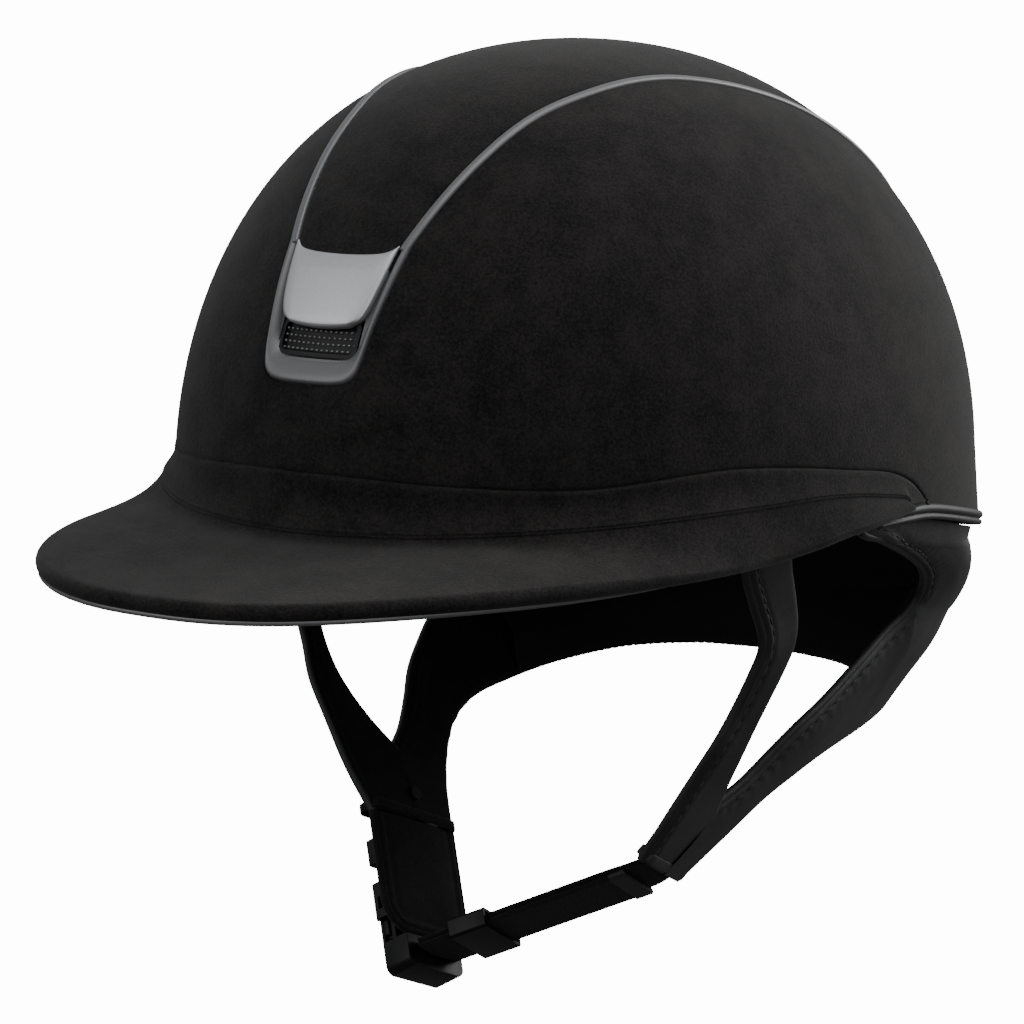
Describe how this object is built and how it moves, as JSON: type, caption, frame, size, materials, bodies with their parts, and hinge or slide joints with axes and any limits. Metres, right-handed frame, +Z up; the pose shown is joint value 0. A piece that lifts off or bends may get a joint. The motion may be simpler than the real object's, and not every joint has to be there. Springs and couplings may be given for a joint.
{
  "type": "equestrian riding helmet",
  "caption": "Wide-peak riding helmet with a suede dome, front vent, crown rails, leather harness and a buckled chin strap.",
  "frame": {"origin": "middle of the head opening, level with the brow, where the head seats", "axes": "+X the wearer's left, -Y the front of the peak, +Z up as worn"},
  "size_m": [0.2246, 0.3409, 0.2861],
  "materials": {
    "suede": "microfibre suede",
    "leather": "fine-grain leather",
    "lining": "soft knitted lining",
    "satin_grey": "satin",
    "badge": "brushed satin",
    "gloss_black": "gloss",
    "shell_plastic": "moulded",
    "foam": "expanded bead foam",
    "webbing": "woven nylon",
    "buckle_plastic": "moulded acetal",
    "rivet_metal": "black oxide",
    "hook_tape": "hook tape"
  },
  "bodies": {
    "helmet": {"outer_shell": "shell_plastic", "shell_cover": "suede", "crown_cover": "suede", "hat_band": "suede", "rim_trim": "satin_grey", "crown_trim_left": "satin_grey", "crown_trim_right": "satin_grey", "front_frame": "satin_grey", "vent_housing": "gloss_black", "front_vent_mesh": "gloss_black", "badge_plate": "badge", "air_duct": "shell_plastic", "rear_vent_frame": "satin_grey", "rear_vent_mesh": "gloss_black", "eps_liner": "foam", "nape_anchor_tabs": "webbing", "hook_dots": "hook_tape", "anchor_rivets": "rivet_metal", "peak_board": "shell_plastic", "peak_cover": "suede", "peak_lining": "lining", "peak_piping": "leather", "nape_panel": "leather", "nape_foam": "foam", "nape_lining": "lining", "front_strap_left": "leather", "front_strap_right": "leather", "rear_strap_left": "leather", "rear_strap_right": "leather", "strap_junction_left": "leather", "strap_junction_right": "leather", "strap_rivets": "rivet_metal", "strap_cuff_left": "webbing", "strap_cuff_right": "webbing", "buckle_pad": "leather", "buckle_webbing": "webbing", "buckle_socket": "buckle_plastic"},
    "comfort_liner": {"liner_carrier": "lining", "brow_pad": "lining", "rear_pad": "lining", "side_pad_left": "lining", "side_pad_right": "lining", "crown_pad": "lining"},
    "chin_strap": {"chin_webbing": "webbing", "chin_strap_tail": "webbing", "tail_tip": "leather", "buckle_plug": "buckle_plastic"},
    "keeper": {"strap_keeper": "buckle_plastic"},
    "front_arm": {"release_arm_front": "buckle_plastic"},
    "rear_arm": {"release_arm_rear": "buckle_plastic"},
    "adjuster": {"strap_adjuster": "buckle_plastic"}
  },
  "joints": [
    {"name": "chin_strap_swing", "type": "hinge", "parent": "helmet", "child": "chin_strap", "pos_m": [0.045, -0.0275, -0.094], "axis": [0.0056, -0.7914, 0.6113], "range_deg": [0, 75]},
    {"name": "keeper_slide", "type": "slide", "parent": "chin_strap", "child": "keeper", "axis": [0.8753, 0.2994, 0.3796], "range_m": [-0.006, 0.03]},
    {"name": "front_arm_squeeze", "type": "hinge", "parent": "chin_strap", "child": "front_arm", "pos_m": [-0.0332, -0.05681, -0.1191], "axis": [-0.8519, -0.0885, -0.5162], "range_deg": [0, 5], "stiffness_Nm_per_rad": 0.002},
    {"name": "rear_arm_squeeze", "type": "hinge", "parent": "chin_strap", "child": "rear_arm", "pos_m": [-0.02909, -0.04067, -0.12866], "axis": [-0.8519, -0.0885, -0.5162], "range_deg": [-5, 0], "stiffness_Nm_per_rad": 0.002},
    {"name": "adjuster_slide", "type": "slide", "parent": "helmet", "child": "adjuster", "axis": [0.4779, -0.5349, -0.6968], "range_m": [0, 0.005]},
    {"name": "liner_pull_out", "type": "slide", "parent": "helmet", "child": "comfort_liner", "axis": [0, 0, -1], "range_m": [0, 0.02]}
  ],
  "couplings": [
    {"joint": "rear_arm_squeeze", "follows": "front_arm_squeeze", "ratio": -1}
  ]
}
